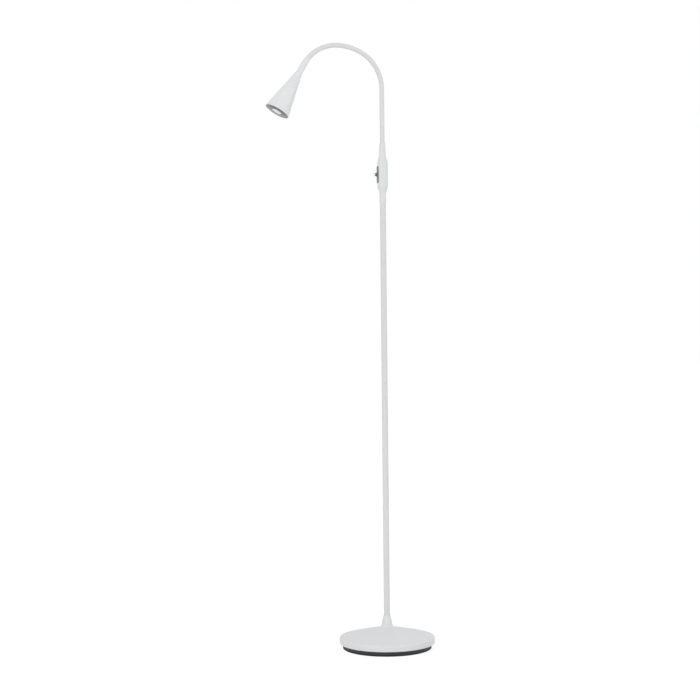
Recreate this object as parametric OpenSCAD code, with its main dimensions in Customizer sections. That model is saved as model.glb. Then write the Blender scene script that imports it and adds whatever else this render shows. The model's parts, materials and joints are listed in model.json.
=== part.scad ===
// Slim reading floor lamp: a weighted base with a low conical cover, a one-piece pole,
// an in-line toggle switch, a flexible arm bent into an arch, and a conical head.
// Millimetres and degrees. The origin is on the floor under the pole, +Z is up, and the
// switch, the arch and the head all face -X. The flexible arm is drawn as short links
// that meet in ball joints, so that it can bend.

/* [Base] */
// Outer diameter of the base cover
base_d = 190; // [170:1:230]
// Height of the cover's upright rim
base_rim_h = 12; // [12:0.5:18]
// Slope of the cover's conical top
cone_angle = 13.4; // [10:0.1:17]
// Wall of the cover
cover_wall = 2.2; // [1.6:0.1:2.8]
// Rounding between the rim and the conical top
cover_edge_r = 2.5; // [1:0.1:3.5]
// Diameter of the flared neck where it leaves the cone
flare_d = 20.4; // [19:0.1:26]
// Height over which the flared neck narrows to the pole
flare_len = 17; // [14:0.5:26]
// Fillet between the flared neck and the cone
flare_fillet = 8; // [3:0.5:9]
// Wall of the flared neck at its top edge
flare_lip = 0.7; // [0.5:0.1:1.2]
// Thickness of the cover's web that the pole stands on
web_t = 3; // [2:0.5:5]
// Height of the foot tray that shows under the cover
foot_show = 7.5; // [5:0.5:10]
// Distance of the foot tray in from the cover's edge
foot_inset = 6; // [5:0.5:12]
// Height that the tray's wall laps up inside the cover
foot_lap = 2; // [1:0.5:2.5]
// Wall of the foot tray
foot_wall = 2.5; // [2:0.1:4]
// Floor of the foot tray
foot_floor = 2.5; // [2:0.1:3.5]
// Chamfer along the tray's lower edge
foot_chamfer = 1.2; // [0.5:0.1:1.8]
// Thickness of the soft pad under the tray
pad_h = 2.5; // [1.5:0.1:4]
// Distance of the pad in from the tray's edge
pad_inset = 0.5; // [0.5:0.5:6]

/* [Weight and clamp] */
// Air between the weight's rim and the cover above it
weight_head_gap = 2; // [1:0.5:3]
// Air between the weight's rim and the tray's wall
weight_side_gap = 0.4; // [0.2:0.1:1]
// Chamfer on the weight's upper edge
weight_chamfer = 1.5; // [0.5:0.5:3]
// Diameter of the hub that carries the cover
hub_d = 36; // [32:1:46]
// Spread of the hub at its root, on each side
hub_draft = 4; // [1:0.5:8]
// Thickness of the hub above the nut pocket
clamp_t = 13; // [9:0.5:14]
// Diameter of the nut pocket under the hub
pocket_d = 25; // [22:0.5:28]
// Width of the slot that the supply cord takes through the weight
slot_w = 9; // [6:0.5:11]
// Diameter of the hollow stud
nipple_d = 8; // [7:0.1:8.4]
// Bore of the hollow stud
nipple_bore = 5; // [4.6:0.1:5.6]
// Length of the stud below its nut
nipple_tail = 1; // [0.5:0.1:1.5]
// Width of the nut across its flats
nut_af = 13; // [12:0.5:15]
// Thickness of the nut
nut_t = 5; // [4:0.5:6]
// Diameter of the flat washer
washer_d = 17; // [15:0.5:20]
// Thickness of the flat washer
washer_t = 1.6; // [1:0.1:2]
// Diameter of the split lock washer
lock_d = 13; // [12:0.1:14.5]
// Thickness of the split lock washer
lock_t = 2; // [1.5:0.1:2.4]
// Gap in the split lock washer
lock_gap = 1.2; // [0.6:0.1:2]
// Shank diameter of the tray screws
foot_screw_d = 4; // [3:0.5:5]
// Head diameter of the tray screws
foot_screw_head_d = 7.6; // [6.6:0.1:8.2]
// Grip of the tray screws in the weight
foot_screw_grip = 8; // [5:0.5:10]
// Radius of the circle that the tray screws stand on
foot_screw_circle = 55; // [45:1:65]

/* [Supply] */
// Bore of the cord inlet
inlet_bore = 4.4; // [3.6:0.1:5]
// Wall of the inlet grommet inside the rim
grommet_wall = 1; // [0.6:0.1:1.2]
// Width of the grommet's lips, beyond the hole
grommet_lip_w = 1.5; // [1:0.1:1.6]
// Thickness of the grommet's lips
grommet_lip_t = 1; // [0.6:0.1:1.5]
// Length of the terminal block
block_l = 16; // [12:0.5:22]
// Width of the terminal block
block_w = 14; // [10:0.5:18]
// Height of the terminal block
block_h = 9; // [8:0.5:11]
// Distance of the terminal block from the bend of the lead
block_run = 8; // [7:0.5:14]
// Depth that the leads go into the terminal block
block_entry = 5; // [3:0.5:7]
// Diameter of the terminal block's clamping screws
block_screw_d = 3; // [2:0.1:4]
// Diameter of the supply lead
supply_d = 4; // [3:0.1:4.4]
// Height of the supply lead above the tray's floor
supply_lift = 3; // [2.4:0.1:3.6]

/* [Pole] */
// Outer diameter of the pole
pole_d = 12; // [11:0.1:14]
// Wall of the pole
pole_wall = 1; // [0.8:0.1:1.3]
// Length of the pole
pole_len = 880; // [700:1:1100]
// Length of the threaded bush in the pole's foot
insert_len = 20; // [12:1:40]

/* [Switch housing] */
// Diameter of the housing's body
housing_d = 21.2; // [20.4:0.1:22.4]
// Length of the housing's straight body
housing_body_len = 44; // [40:1:60]
// Length of the lip round the pole
housing_lip_len = 20; // [10:0.5:26]
// Wall of the lip round the pole
housing_lip = 0.6; // [0.5:0.1:1.4]
// Length of the lower shoulder
lower_shoulder_len = 16; // [14:0.5:26]
// Length of the upper shoulder
upper_shoulder_len = 19; // [16:0.5:28]
// Length of the neck above the upper shoulder
neck_len = 22; // [18:0.5:30]
// Wall of the neck at the upper shoulder
neck_wall_low = 1.7; // [1.2:0.1:2.4]
// Wall of the neck at its upper edge
neck_wall_top = 0.8; // [0.6:0.1:1.1]
// Depth of the pole's socket above the lip
socket_depth = 14; // [12:0.5:16]
// Bore for the leads through the housing
wire_bore = 7.6; // [7.4:0.1:8]
// Depth of the flat that carries the switch plate
flat_cut = 1; // [0.8:0.1:1]
// Diameter of the set screws
set_screw_d = 3; // [2.5:0.1:3.5]
// Length of the set screws
set_screw_len = 3; // [2:0.1:3.2]
// Size of the set screws' hexagon sockets across corners
set_screw_key = 1.6; // [1:0.1:1.8]

/* [Switch] */
// Height of the switch plate
plate_h = 35; // [28:0.5:38]
// Width of the switch plate
plate_w = 8.8; // [8.8:0.1:9.4]
// Thickness of the switch plate
plate_t = 1.6; // [1.2:0.1:2.2]
// Height of the switch body
switch_h = 13; // [10:0.5:18]
// Width of the switch body
switch_w = 7.4; // [6.6:0.1:7.6]
// Depth of the switch body
switch_depth = 9; // [8:0.1:10]
// Length of the switch's terminals
terminal_len = 3; // [2:0.1:3.4]
// Distance between the switch's terminals
terminal_pitch = 4; // [3:0.1:4.5]
// Outer diameter of the toggle's bushing
bushing_d = 6.2; // [6:0.1:6.4]
// Length of the bushing beyond the plate
bushing_len = 4.6; // [4:0.1:6]
// Width of the bushing's nut across its flats
bushing_nut_af = 7.6; // [7.4:0.1:7.6]
// Thickness of the bushing's nut
bushing_nut_t = 1.8; // [1.2:0.1:2.4]
// Diameter of the lever's ball
lever_ball_d = 4.7; // [4.2:0.1:5]
// Distance of the lever's pivot beyond the plate
lever_pivot = 1.6; // [1.4:0.1:2]
// Length of the lever from its pivot to the centre of its tip
lever_len = 7.2; // [6.6:0.1:12]
// Diameter of the pin that the lever turns on
lever_pin_d = 1.2; // [0.8:0.1:1.4]
// Depth of the pin in the bushing's wall
lever_pin_bite = 0.4; // [0.2:0.1:0.5]
// Diameter of the lever at its ball
lever_root_d = 2.2; // [1.6:0.1:2.4]
// Diameter of the lever's rounded tip
lever_tip_d = 3.2; // [2.4:0.1:3.6]
// Tilt of the lever above the horizontal
lever_angle = 13; // [8:0.5:14]

/* [Flexible arm] */
// Outer diameter of the arm's sleeve
sleeve_d = 9.5; // [9:0.1:10.5]
// Wall of the arm's sleeve
sleeve_wall = 1.35; // [1:0.05:1.4]
// Outer diameter of the steel hose
hose_d = 6.4; // [6:0.1:6.6]
// Wall of the steel hose
hose_wall = 1.2; // [0.8:0.1:1.4]
// Diameter of the lead inside the hose
arm_lead_d = 2.8; // [2:0.1:3.2]
// Length of the arm's fixed end above the housing
arm_stub = 12; // [8:0.5:24]
// Length of the upright stretch above the fixed end
arm_straight = 97; // [70:1:140]
// Radius of the arch's shoulders
arch_r = 79.5; // [70:0.5:110]
// Radius of the flatter link at the top of the arch
crown_r = 110; // [70:1:150]
// Angle that the arch turns through, to the head
arch_angle = 149.5; // [120:0.5:165]
// Angle of the arch that belongs to the head
tail_angle = 18.75; // [16:0.25:22]
// Running gap in the ball joints
ball_gap = 0.3; // [0.2:0.05:0.5]
// Step down from the sleeve to its ball end
end_step = 0.1; // [0.06:0.01:0.15]
// Length of the hose and the lead beyond each ball joint's centre
core_reach = 2; // [1:0.1:2.4]
// Outer diameter of the bush that holds the arm in the housing
ferrule_d = 10; // [9.6:0.1:10.4]
// Length of the arm's sleeve inside the housing's neck
ferrule_drop = 4; // [2:0.5:8]

/* [Head] */
// Length of the head from the arch to its mouth
head_len = 112.5; // [100:0.5:130]
// Length of the head's cone
cone_len = 90.5; // [80:0.5:94]
// Outer diameter of the mouth
mouth_d = 51; // [44:0.5:60]
// Outer diameter of the head's neck
head_neck_d = 12.8; // [12.2:0.1:14]
// Fillet between the neck and the cone
head_fillet = 25; // [10:1:40]
// Wall of the head's shell
shell_wall = 1.2; // [1:0.1:2]
// Depth that the arm's sleeve goes into the head
sleeve_seat = 8; // [5:0.5:12]
// Depth of solid neck beyond the end of the sleeve
neck_plug = 18; // [14:0.5:24]
// Angle of the arch that the boot covers
boot_angle = 9; // [7:0.25:12]
// Outer diameter of the boot
boot_d = 12.4; // [11.4:0.1:12.6]
// Distance of the light engine's face back from the mouth
engine_depth = 16; // [14:0.5:20]
// Length of the heat sink
sink_len = 34; // [26:1:40]
// Diameter of the heat sink's core between its fins
sink_core_d = 15; // [14:0.5:18]
// Thickness of the heat sink's fins and of the gaps between them
sink_fin_t = 3; // [2:0.1:3.6]
// Number of gaps between the fins
sink_gaps = 3; // [1:1:3]
// Bore for the lead through the heat sink
sink_bore = 3.6; // [3.2:0.1:4.2]
// Diameter of the light engine's board
board_d = 27; // [25:0.5:29]
// Thickness of the board
board_t = 1.6; // [1:0.1:2]
// Side of the light source on the board
chip_w = 6; // [4:0.1:7]
// Thickness of the light source
chip_t = 1.2; // [0.8:0.1:1.4]
// Distance of each board screw from the axis
board_screw_r = 10; // [9:0.1:10.6]
// Shank diameter of the board screws
board_screw_d = 2; // [1.6:0.1:2.2]
// Head diameter of the board screws
board_screw_head_d = 3.6; // [3:0.1:4]
// Head thickness of the board screws
board_screw_head_t = 1.2; // [0.8:0.1:1.4]
// Grip of the board screws in the heat sink
board_screw_grip = 5; // [4:0.5:8]
// Diameter of the lens
lens_d = 21; // [20:0.1:25]
// Thickness of the lens at its rim
lens_rim_t = 3; // [2:0.1:3.4]
// Height of the lens's dome
lens_dome = 1.4; // [1:0.1:3]
// Diameter of the lens's inner end
lens_tail_d = 9; // [8:0.1:10]
// Width of the ledge that carries the lens
lens_ledge = 1.2; // [0.8:0.1:1.6]
// Thickness of that ledge
lens_ledge_t = 1; // [0.8:0.1:1.4]
// Depth of the ring's outer edge behind the mouth
ring_recess = 0.4; // [0.2:0.1:1.2]
// Rise of the ring's face from its outer edge to the lens
ring_rise = 1.2; // [0.4:0.1:1.6]

/* [Fits] */
// Clearance of fixed fits, on each side
fit = 0.05; // [0.02:0.01:0.08]
// Clearance of loose fits and screw holes, on each side
loose = 0.2; // [0.1:0.05:0.3]
// Running clearance of the lever's ball
ball_fit = 0.08; // [0.05:0.01:0.1]

/* [Hidden] */
$fn = 64;
STRAIGHT_LINKS = 2;
ARCH_LINKS = 6;
CROWN = STRAIGHT_LINKS + 4;
LAST = STRAIGHT_LINKS + ARCH_LINKS + 1;
FOOT_SCREW_ANGLES = [60, 180, 300];
ARC_STEPS = 10;
EASE_STEPS = 20;
COVER_COLOR = "whitesmoke";
DARK_COLOR = "dimgray";
STEEL_COLOR = "silver";
over = 1;

// Base levels and radii
base_r = base_d / 2;
foot_r = base_r - foot_inset;
pad_r = foot_r - pad_inset;
floor_z = pad_h + foot_floor;
cover_z = pad_h + foot_show;
rim_z = cover_z + base_rim_h;
tray_z = cover_z + foot_lap;
function cone_z(r) = rim_z + (base_r - r) * tan(cone_angle);
function cone_inner_z(r) = cone_z(r) - cover_wall / cos(cone_angle);

// Clamp stack under the pole, from the hub's top down
hub_r = hub_d / 2;
hub_z = cone_inner_z(hub_r);
seat_z = hub_z + web_t;
weight_r = foot_r - foot_wall - weight_side_gap;
weight_z = cone_inner_z(weight_r) - weight_head_gap;
pocket_z = hub_z - clamp_t;
washer_z = pocket_z - washer_t;
lock_z = washer_z - lock_t;
nut_z = lock_z - nut_t;
nipple_z = nut_z - nipple_tail;

// Supply
inlet_z = cover_z + (base_rim_h - cover_wall) / 2;
inlet_r = inlet_bore / 2;
grommet_r = inlet_r + grommet_wall;
grommet_lip_r = grommet_r + grommet_lip_w;
rim_inner_r = base_r - cover_wall;
lip_inner_x = sqrt(pow(rim_inner_r, 2) - pow(grommet_lip_r, 2));
supply_z = floor_z + supply_lift;
supply_bend_r = nipple_z - supply_z - loose;
block_x = supply_bend_r + block_run;
block_pole_y = block_w / 4;

// Pole and flare
pole_r = pole_d / 2;
pole_bore_r = pole_r - pole_wall;
pole_top_z = seat_z + pole_len;
flare_r = flare_d / 2;
flare_top_r = pole_r + fit + flare_lip;
flare_z = cone_z(flare_r + flare_fillet) + flare_fillet / cos(cone_angle);
flare_top_z = flare_z + flare_len;

// Switch housing levels and radii
housing_r = housing_d / 2;
housing_z = pole_top_z - socket_depth - housing_lip_len;
housing_lip_r = pole_r + fit + housing_lip;
body_z = housing_z + housing_lip_len + lower_shoulder_len;
body_top_z = body_z + housing_body_len;
neck_z = body_top_z + upper_shoulder_len;
housing_top_z = neck_z + neck_len;
switch_z = body_z + housing_body_len / 2;
ferrule_r = ferrule_d / 2;
ferrule_bore_r = ferrule_r + fit;
neck_low_r = ferrule_bore_r + neck_wall_low;
neck_top_r = ferrule_bore_r + neck_wall_top;
ferrule_z = body_top_z + loose;
ferrule_top_z = housing_top_z - ferrule_drop;
flat_x = housing_r - flat_cut;
plate_x = flat_x + plate_t;
bushing_x = plate_x + bushing_len;
pivot_x = plate_x + lever_pivot;
lever_bore_r = lever_ball_d / 2 + ball_fit;
lower_set_z = pole_top_z - set_screw_d;
upper_set_z = ferrule_z + upper_shoulder_len / 3;

// Arm stations: a height on the upright stretch, then an angle round the arch
sleeve_r = sleeve_d / 2;
sleeve_bore_r = sleeve_r - sleeve_wall;
hose_r = hose_d / 2;
hose_bore_r = hose_r - hose_wall;
arm_lead_r = arm_lead_d / 2;
ball_r = sleeve_r - end_step;
socket_r = sleeve_r + ball_gap;
arm_z = housing_top_z + arm_stub;
arch_z = arm_z + arm_straight;
link_bend = (arch_angle - tail_angle) / ARCH_LINKS;
link_rise = arm_straight / STRAIGHT_LINKS;
function joint_bend(k) = max(0, k - 1 - STRAIGHT_LINKS) * link_bend;
function joint_rise(k) = min(k - 1, STRAIGHT_LINKS) * link_rise;
function link_r(k) = k == CROWN ? crown_r : arch_r;
crown_from = joint_bend(CROWN);
crown_to = joint_bend(CROWN + 1);
crown_more = crown_r - arch_r;
function in_crown(angle) = min(max(angle, crown_from), crown_to);
function arch_x(angle) =
    arch_r * (cos(angle) - 1) + crown_more * (cos(in_crown(angle)) - cos(crown_from));
function arch_rise(angle) =
    arch_r * sin(angle) + crown_more * (sin(in_crown(angle)) - sin(crown_from));

// Head, along its own axis from the end of the arch
mouth_r = mouth_d / 2;
head_neck_r = head_neck_d / 2;
cone_a = head_len - cone_len;
head_angle = atan((mouth_r - head_neck_r) / cone_len);
function shell_r(a) = head_neck_r + (a - cone_a) * tan(head_angle);
function shell_inner_r(a) = shell_r(a) - shell_wall / cos(head_angle);
chamber_a = sleeve_seat + neck_plug;
engine_a = head_len - engine_depth;
sink_a = engine_a - sink_len;
board_front_a = engine_a + board_t;
ring_a = head_len - ring_recess;
lens_face_a = ring_a + ring_rise;
lens_seat_a = lens_face_a - lens_rim_t;
ring_back_a = lens_seat_a - lens_ledge_t;
lens_tail_a = board_front_a + chip_t + loose;
lens_r = lens_d / 2;
lens_hole_r = lens_r - lens_ledge;
dome_r = (pow(lens_r, 2) + pow(lens_dome, 2)) / (2 * lens_dome);

// Points of an arc, both ends included
function arc(centre, r, from, to) =
    [for (i = [0 : ARC_STEPS])
        centre + r * [cos(from + (to - from) * i / ARC_STEPS), sin(from + (to - from) * i / ARC_STEPS)]];

// Points of a curve that eases from one profile point to another, upright at both ends
function ease(from, to) =
    [for (i = [0 : EASE_STEPS])
        [from[0] + (to[0] - from[0]) * (1 - cos(180 * i / EASE_STEPS)) / 2,
         from[1] + (to[1] - from[1]) * i / EASE_STEPS]];

// The points of a list without its first one
function after_first(points) = [for (i = [1 : len(points) - 1]) points[i]];

// A tube or ring along +Z, or a plain bar where the inner radius is nought
module ring(outer, inner, h) {
    rotate_extrude()
        translate([inner, 0])
            square([outer - inner, h]);
}

// Places children with their +Z towards -X, at a height and a distance from the pole's axis
module facing_front(x, z) {
    translate([-x, 0, z])
        rotate([0, -90, 0])
            children();
}

// Places children with their +Z towards +X
module facing_back(x, z) {
    translate([x, 0, z])
        rotate([0, 90, 0])
            children();
}

// Places children at ball joint k, with +Z along the arm
module at_joint(k) {
    translate([0, 0, arm_z + joint_rise(k)])
        at_bend(joint_bend(k))
            children();
}

// Places children on the arch, from the arch's foot at the origin, with +Z along the arm
module at_bend(angle) {
    translate([arch_x(angle), 0, arch_rise(angle)])
        rotate([0, -angle, 0])
            children();
}

// Places children at the end of the arch, with +Z along the head's axis
module at_head() {
    translate([0, 0, arch_z])
        at_bend(arch_angle)
            children();
}

// A tube along the arch in link k from one angle to another, or a bar where the inner radius is nought
module arch_tube(k, outer, inner, from, to) {
    r = link_r(k);
    translate([0, 0, arch_z])
        at_bend(from)
            translate([-r, 0, 0])
                rotate([90, 0, 0])
                    rotate_extrude(angle = to - from)
                        translate([r, 0])
                            difference() {
                                circle(r = outer);
                                if (inner > 0)
                                    circle(r = inner);
                            }
}

// A tube through link k, from its lower ball joint to a reach beyond its upper one
module link_tube(k, outer, inner, reach) {
    turn = reach / link_r(k) * 180 / PI;
    difference() {
        if (k <= STRAIGHT_LINKS)
            at_joint(k)
                ring(outer, inner, link_rise + reach);
        else if (k < LAST)
            arch_tube(k, outer, inner, joint_bend(k), joint_bend(k + 1) + turn);
        else
            arch_tube(k, outer, inner, joint_bend(k), arch_angle);
        socket(k);
    }
}

// The straight end of the arm in the head, a little thinner than the bent part it grows from
module head_end(outer, inner, h) {
    at_head()
        translate([0, 0, -over])
            ring(outer - end_step, inner, h + over);
}

// What link k of the arm leaves free round its lower ball joint
module socket(k) {
    at_joint(k)
        sphere(r = socket_r);
}

// The ball end of a sleeve, round outside and bored inside, that grows out of its wall
module ball_end() {
    bore_r = sleeve_bore_r + end_step;
    rotate_extrude()
        intersection() {
            circle(r = ball_r);
            translate([bore_r, -over])
                square([ball_r, ball_r + over]);
        }
}

// Soft disc under the tray
module foot_pad() {
    color("black")
        cylinder(r = pad_r, h = pad_h);
}

// Dark tray whose wall shows under the cover
module base_foot() {
    color(DARK_COLOR)
        difference() {
            rotate_extrude()
                polygon([
                    [0, pad_h], [foot_r - foot_chamfer, pad_h], [foot_r, pad_h + foot_chamfer],
                    [foot_r, tray_z], [foot_r - foot_wall, tray_z], [foot_r - foot_wall, floor_z],
                    [0, floor_z]]);
            at_foot_screws()
                countersink(loose, floor_z + over);
        }
}

// Places children at each tray screw, on the tray's underside
module at_foot_screws() {
    for (a = FOOT_SCREW_ANGLES)
        rotate([0, 0, a])
            translate([foot_screw_circle, 0, pad_h])
                children();
}

// A countersunk screw's shape with its head down, grown on each side
module countersink(grow, h) {
    head = foot_screw_head_d / 2 + grow;
    shank = foot_screw_d / 2 + grow;
    cylinder(r1 = head, r2 = shank, h = head - shank);
    cylinder(r = shank, h = h);
}

// Three countersunk screws that hold the tray to the weight
module foot_screws() {
    color(STEEL_COLOR)
        at_foot_screws()
            difference() {
                countersink(0, foot_floor + foot_screw_grip);
                cylinder(r = foot_screw_d / 4, h = foot_screw_d / 4, $fn = 6);
            }
}

// Cast disc with a hub that carries the cover, a nut pocket and a slot for the cord
module base_weight() {
    color("darkslategray")
        difference() {
            rotate_extrude()
                polygon([
                    [0, floor_z], [weight_r, floor_z], [weight_r, weight_z - weight_chamfer],
                    [weight_r - weight_chamfer, weight_z], [hub_r + hub_draft, weight_z],
                    [hub_r - weight_chamfer, hub_z], [0, hub_z]]);
            translate([0, 0, floor_z - over])
                cylinder(r = pocket_d / 2, h = pocket_z - floor_z + over);
            translate([0, 0, pocket_z - over])
                cylinder(r = nipple_d / 2 + loose, h = clamp_t + 2 * over);
            translate([0, -slot_w / 2, floor_z - over])
                cube([weight_r + over, slot_w, weight_z - floor_z + 2 * over]);
            translate([block_x - loose, -block_w / 2 - loose, floor_z - over])
                cube([block_l + 2 * loose, block_w + 2 * loose, block_h + loose + over]);
            at_foot_screws()
                cylinder(r = foot_screw_d / 2 + fit, h = foot_floor + foot_screw_grip + over);
        }
}

// Cover with an upright rim, a conical top and a flared neck round the pole's foot
module base_cover() {
    edge_r = base_r - cover_edge_r;
    edge = [edge_r, cone_z(edge_r) - cover_edge_r / cos(cone_angle)];
    fillet = [flare_r + flare_fillet, flare_z];
    stud_r = nipple_d / 2 + loose;
    color(COVER_COLOR)
        difference() {
            rotate_extrude()
                polygon(concat(
                    [[rim_inner_r, cover_z], [base_r, cover_z]],
                    arc(edge, cover_edge_r, 0, 90 - cone_angle),
                    arc(fillet, flare_fillet, 270 - cone_angle, 180),
                    after_first(ease([flare_r, flare_z], [flare_top_r, flare_top_z])),
                    [[pole_r + fit, flare_top_z], [pole_r + fit, seat_z], [stud_r, seat_z],
                     [stud_r, hub_z], [hub_r, hub_z], [rim_inner_r, cone_inner_z(rim_inner_r)]]));
            facing_back(lip_inner_x - over, inlet_z)
                cylinder(r = grommet_r + fit, h = base_r - lip_inner_x + 2 * over);
        }
}

// Inlet bush in the back of the rim, with a lip on each side
module cord_grommet() {
    color("black")
        facing_back(lip_inner_x, inlet_z)
            difference() {
                union() {
                    cylinder(r = grommet_r, h = base_r - lip_inner_x);
                    translate([0, 0, -grommet_lip_t])
                        cylinder(r = grommet_lip_r, h = grommet_lip_t);
                    translate([0, 0, base_r - lip_inner_x])
                        cylinder(r = grommet_lip_r, h = grommet_lip_t);
                }
                translate([0, 0, -grommet_lip_t - over])
                    cylinder(r = inlet_r, h = base_r - lip_inner_x + 2 * (grommet_lip_t + over));
            }
}

// Two-pole terminal block on the tray's floor
module terminal_block() {
    color("ivory")
        difference() {
            translate([block_x, -block_w / 2, floor_z])
                cube([block_l, block_w, block_h]);
            facing_back(block_x - over, supply_z)
                cylinder(r = supply_d / 2 + loose, h = block_entry + over);
            facing_back(block_x + block_l - block_entry, supply_z)
                cylinder(r = inlet_r, h = block_entry + over);
            for (side = [-1, 1])
                translate([block_x + block_l / 2, side * block_pole_y, supply_z])
                    cylinder(r = block_screw_d / 2, h = block_h);
        }
}

// Lead from the terminal block, round a bend and up the pole to the switch
module supply_lead() {
    top = switch_z - switch_h / 2 - loose;
    start = block_x + block_entry - loose;
    r = supply_d / 2;
    color("gray") {
        facing_back(supply_bend_r, supply_z)
            cylinder(r = r, h = start - supply_bend_r);
        translate([supply_bend_r, 0, supply_z + supply_bend_r])
            rotate([90, 0, 0])
                rotate([0, 0, 180])
                    rotate_extrude(angle = 90)
                        translate([supply_bend_r, 0])
                            circle(r = r);
        translate([0, 0, supply_z + supply_bend_r])
            cylinder(r = r, h = top - supply_z - supply_bend_r);
    }
}

// Nut at the lower end of the clamp stack
module pole_nut() {
    color(STEEL_COLOR)
        translate([0, 0, nut_z])
            difference() {
                cylinder(d = nut_af / cos(30), h = nut_t, $fn = 6);
                translate([0, 0, -over])
                    cylinder(r = nipple_d / 2 + fit, h = nut_t + 2 * over);
            }
}

// Split spring washer
module lock_washer() {
    color(STEEL_COLOR)
        translate([0, 0, lock_z])
            difference() {
                ring(lock_d / 2, nipple_d / 2 + loose, lock_t);
                translate([0, -lock_gap / 2, -over])
                    cube([lock_d, lock_gap, lock_t + 2 * over]);
            }
}

// Flat washer against the hub
module pole_washer() {
    color(STEEL_COLOR)
        translate([0, 0, washer_z])
            ring(washer_d / 2, nipple_d / 2 + loose, washer_t);
}

// Hollow stud that clamps pole, cover and weight together
module pole_nipple() {
    color(STEEL_COLOR)
        translate([0, 0, nipple_z])
            ring(nipple_d / 2, nipple_bore / 2, seat_z + insert_len - nipple_z);
}

// Bush fixed in the pole's foot
module pole_insert() {
    color(STEEL_COLOR)
        translate([0, 0, seat_z])
            ring(pole_bore_r - fit, nipple_d / 2 + fit, insert_len);
}

// One-piece tube
module pole() {
    color(COVER_COLOR)
        translate([0, 0, seat_z])
            ring(pole_r, pole_bore_r, pole_len);
}

// Outline of the switch plate, grown on each side
module plate_outline(grow) {
    w = plate_w + 2 * grow;
    for (side = [-1, 1])
        translate([side * (plate_h - plate_w) / 2, 0])
            circle(d = w);
    square([plate_h - plate_w, w], center = true);
}

// Spindle-shaped housing between the pole and the arm
module switch_housing() {
    color(COVER_COLOR)
        difference() {
            rotate_extrude()
                polygon(concat(
                    [[pole_r + fit, housing_z], [housing_lip_r, housing_z]],
                    ease([housing_lip_r, housing_z + housing_lip_len], [housing_r, body_z]),
                    ease([housing_r, body_top_z], [neck_low_r, neck_z]),
                    [[neck_top_r, housing_top_z], [ferrule_bore_r, housing_top_z],
                     [ferrule_bore_r, ferrule_z], [wire_bore / 2, ferrule_z],
                     [wire_bore / 2, pole_top_z], [pole_r + fit, pole_top_z]]));
            facing_front(flat_x, switch_z)
                linear_extrude(housing_r)
                    plate_outline(loose);
            translate([-flat_x - over, -switch_w / 2 - loose, switch_z - switch_h / 2 - loose])
                cube([switch_depth + loose + over, switch_w + 2 * loose, switch_h + 2 * loose]);
            facing_back(0, lower_set_z)
                cylinder(r = set_screw_d / 2 + fit, h = housing_d);
            facing_back(0, upper_set_z)
                cylinder(r = set_screw_d / 2 + fit, h = housing_d);
        }
}

// Set screws in the back of the housing, one on the pole and one on the arm's bush
module housing_screws() {
    color(STEEL_COLOR) {
        set_screw(pole_r + fit, lower_set_z);
        set_screw(ferrule_r + fit, upper_set_z);
    }
}

// A set screw that bears on a bar of radius x, with a hexagon socket in its outer end
module set_screw(x, z) {
    facing_back(x, z)
        difference() {
            cylinder(r = set_screw_d / 2, h = set_screw_len);
            translate([0, 0, set_screw_len / 2])
                cylinder(d = set_screw_key, h = set_screw_len, $fn = 6);
        }
}

// Toggle switch behind the plate, with three terminals
module switch_body() {
    tab_w = terminal_pitch / 2;
    tab_t = terminal_pitch / 5;
    color("darkslategray") {
        translate([-flat_x, -switch_w / 2, switch_z - switch_h / 2])
            cube([switch_depth, switch_w, switch_h]);
        for (i = [-1 : 1])
            translate([switch_depth - flat_x, -tab_w / 2, switch_z + i * terminal_pitch - tab_t / 2])
                cube([terminal_len, tab_w, tab_t]);
    }
}

// Dark plate on the housing's flat
module switch_plate() {
    color(DARK_COLOR)
        facing_front(flat_x, switch_z)
            linear_extrude(plate_t)
                difference() {
                    plate_outline(0);
                    circle(r = bushing_d / 2 + fit);
                }
}

// Bushing that the lever swings in
module switch_bushing() {
    color(DARK_COLOR)
        difference() {
            facing_front(flat_x, switch_z)
                ring(bushing_d / 2, lever_bore_r, bushing_x - flat_x);
            lever_pin(lever_pin_d / 2 + fit, bushing_d);
        }
}

// Nut on the bushing, against the plate
module bushing_nut() {
    color(DARK_COLOR)
        facing_front(plate_x, switch_z)
            difference() {
                cylinder(d = bushing_nut_af / cos(30), h = bushing_nut_t, $fn = 6);
                translate([0, 0, -over])
                    cylinder(r = bushing_d / 2 + fit, h = bushing_nut_t + 2 * over);
            }
}

// Cross pin on the lever's axis, from the middle out to both sides
module lever_pin(r, reach) {
    translate([-pivot_x, reach, switch_z])
        rotate([90, 0, 0])
            cylinder(r = r, h = 2 * reach);
}

// Lever with a ball and a cross pin in the bushing, and a rounded tip
module toggle_lever() {
    color(STEEL_COLOR) {
        translate([-pivot_x, 0, switch_z])
            rotate([0, lever_angle - 90, 0]) {
                sphere(d = lever_ball_d);
                cylinder(d1 = lever_root_d, d2 = lever_tip_d, h = lever_len);
                translate([0, 0, lever_len])
                    sphere(d = lever_tip_d);
            }
        lever_pin(lever_pin_d / 2, lever_bore_r + lever_pin_bite);
    }
}

// Bush that holds the arm's hose in the housing's neck
module arm_ferrule() {
    color(STEEL_COLOR)
        translate([0, 0, ferrule_z])
            ring(ferrule_r, hose_r + fit, ferrule_top_z - ferrule_z);
}

// Outer sleeve: link 0 is fixed in the housing and the last one in the head
module arm_sleeve(k) {
    color(COVER_COLOR) {
        if (k == 0)
            translate([0, 0, ferrule_top_z])
                ring(sleeve_r, sleeve_bore_r, arm_z - ferrule_top_z);
        else
            link_tube(k, sleeve_r, sleeve_bore_r, 0);
        if (k < LAST)
            at_joint(k + 1)
                ball_end();
        else
            head_end(sleeve_r, sleeve_bore_r + end_step, sleeve_seat);
    }
}

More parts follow.
